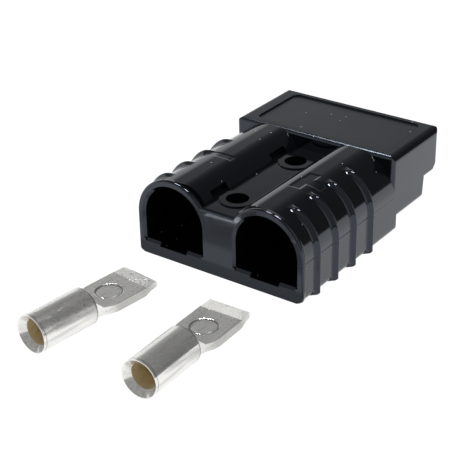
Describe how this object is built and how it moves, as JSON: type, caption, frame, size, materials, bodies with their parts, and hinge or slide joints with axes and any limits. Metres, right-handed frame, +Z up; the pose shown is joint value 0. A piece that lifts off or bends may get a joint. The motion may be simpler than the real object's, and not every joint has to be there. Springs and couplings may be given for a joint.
{
  "type": "genderless power connector",
  "caption": "Flat two-pole genderless power connector housing with leaf springs, and a pair of crimp contacts lying ready behind its wire ports.",
  "frame": {"origin": "on the underside, midway between the two mounting holes", "axes": "+X from the left pole to the right pole, +Y from the wire end to the mating end, +Z up along the mounting holes"},
  "size_m": [0.0382, 0.0892, 0.0167],
  "materials": {
    "housing": "moulded, semi-gloss",
    "spring": "rolled strip",
    "contact": "silver plated"
  },
  "bodies": {
    "root": {"housing": "housing", "left_spring": "spring", "right_spring": "spring", "left_contact": "contact", "right_contact": "contact"}
  },
  "joints": []
}
